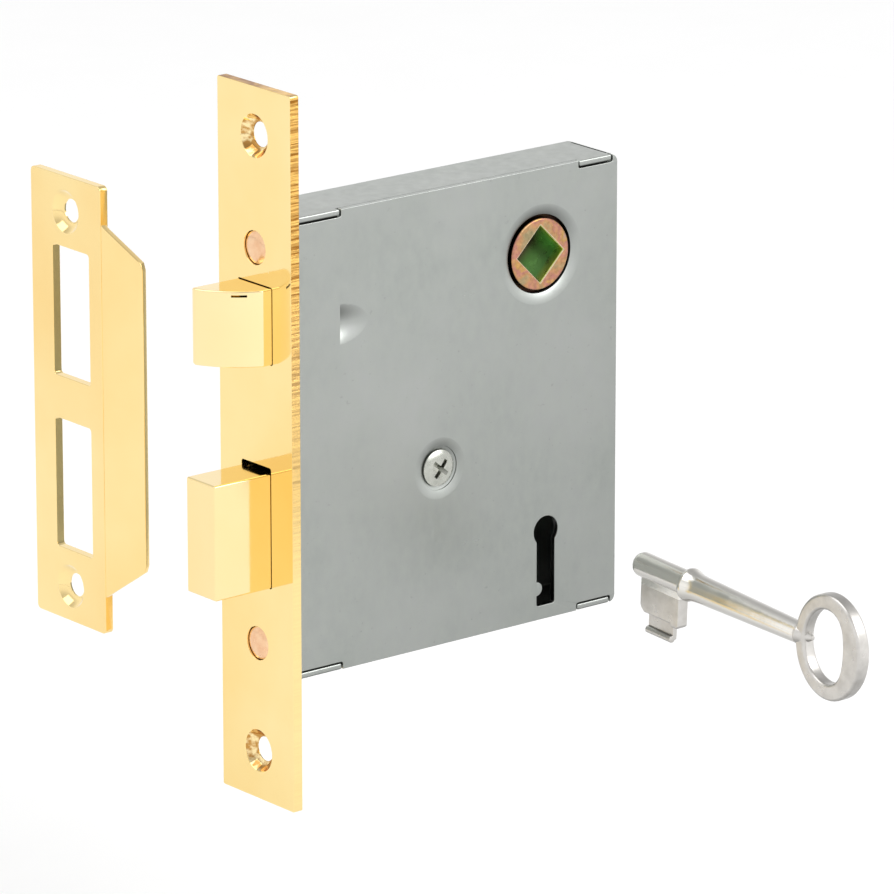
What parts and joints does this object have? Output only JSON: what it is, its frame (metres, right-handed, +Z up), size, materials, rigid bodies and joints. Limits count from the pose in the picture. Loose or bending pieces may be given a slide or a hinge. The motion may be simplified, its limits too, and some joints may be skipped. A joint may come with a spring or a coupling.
{
  "type": "mortise lock",
  "caption": "Bit-key mortise lock with brass faceplate, bevelled spring latch, deadbolt, square-bore hub, pressed steel case, strike plate and ring-bow key.",
  "frame": {"origin": "centre of the faceplate's front face", "axes": "+X runs into the door, -Y is the cover side that the key and the knob spindle's cover face, +Z is up along the faceplate"},
  "size_m": [0.0971, 0.1507, 0.1396],
  "materials": {
    "polished_brass": "mirror-polished brass plating",
    "strike_brass": "mirror-polished brass plating on sheet",
    "copper_rivet": "brushed copper-coloured rivet",
    "zinc_steel": "satin zinc-plated pressed steel, fine mottling",
    "yellow_zinc": "zinc casting with yellow chromate",
    "bright_steel": "bright zinc-plated steel",
    "spring_steel": "drawn spring steel",
    "nickel": "nickel plating, softly polished"
  },
  "bodies": {
    "case": {"faceplate": "polished_brass", "faceplate_rivet_upper": "copper_rivet", "faceplate_rivet_lower": "copper_rivet", "case_pan": "zinc_steel", "case_cover": "zinc_steel", "cover_screw": "bright_steel", "screw_pillar": "bright_steel", "lever_post": "bright_steel", "spring_bracket": "bright_steel"},
    "latch": {"latch_head": "polished_brass", "latch_tail": "bright_steel", "latch_spring": "spring_steel", "latch_pin_upper": "polished_brass", "latch_pin_lower": "polished_brass"},
    "hub": {"hub": "yellow_zinc"},
    "deadbolt": {"deadbolt_head": "polished_brass", "deadbolt_tail": "bright_steel", "deadbolt_stump": "bright_steel", "deadbolt_rivet_upper": "polished_brass", "deadbolt_rivet_lower": "polished_brass"},
    "lever": {"lever_tumbler": "bright_steel", "lever_spring": "spring_steel"},
    "strike": {"strike_plate": "strike_brass"},
    "key": {"key": "nickel"}
  },
  "joints": [
    {"name": "hub_turn", "type": "hinge", "parent": "case", "child": "hub", "pos_m": [0.0635, 0, 0.0283], "axis": [0, 1, 0], "range_deg": [0, 61.21]},
    {"name": "latch_retract", "type": "slide", "parent": "case", "child": "latch", "axis": [1, 0, 0], "range_m": [0, 0.0112], "stiffness_N_per_m": 30, "springref_m": -0.006, "deforming": ["latch_spring"]},
    {"name": "deadbolt_slide", "type": "slide", "parent": "case", "child": "deadbolt", "axis": [1, 0, 0], "range_m": [0, 0.0132]},
    {"name": "lever_lift", "type": "hinge", "parent": "case", "child": "lever", "pos_m": [0.026, 0, -0.02], "axis": [0, -1, 0], "range_deg": [-4, 3], "stiffness_Nm_per_rad": 0.02, "springref_deg": -8.59, "deforming": ["lever_spring"]},
    {"name": "strike_slide", "type": "slide", "parent": "case", "child": "strike", "axis": [-1, 0, 0], "range_m": [0, 0.04]},
    {"name": "key_insert", "type": "slide", "parent": "case", "child": "key", "axis": [0, 1, 0], "range_m": [0, 0.042]}
  ],
  "couplings": [
    {"joint": "hub_turn", "follows": "latch_retract", "rad_per_m": 95.383}
  ]
}
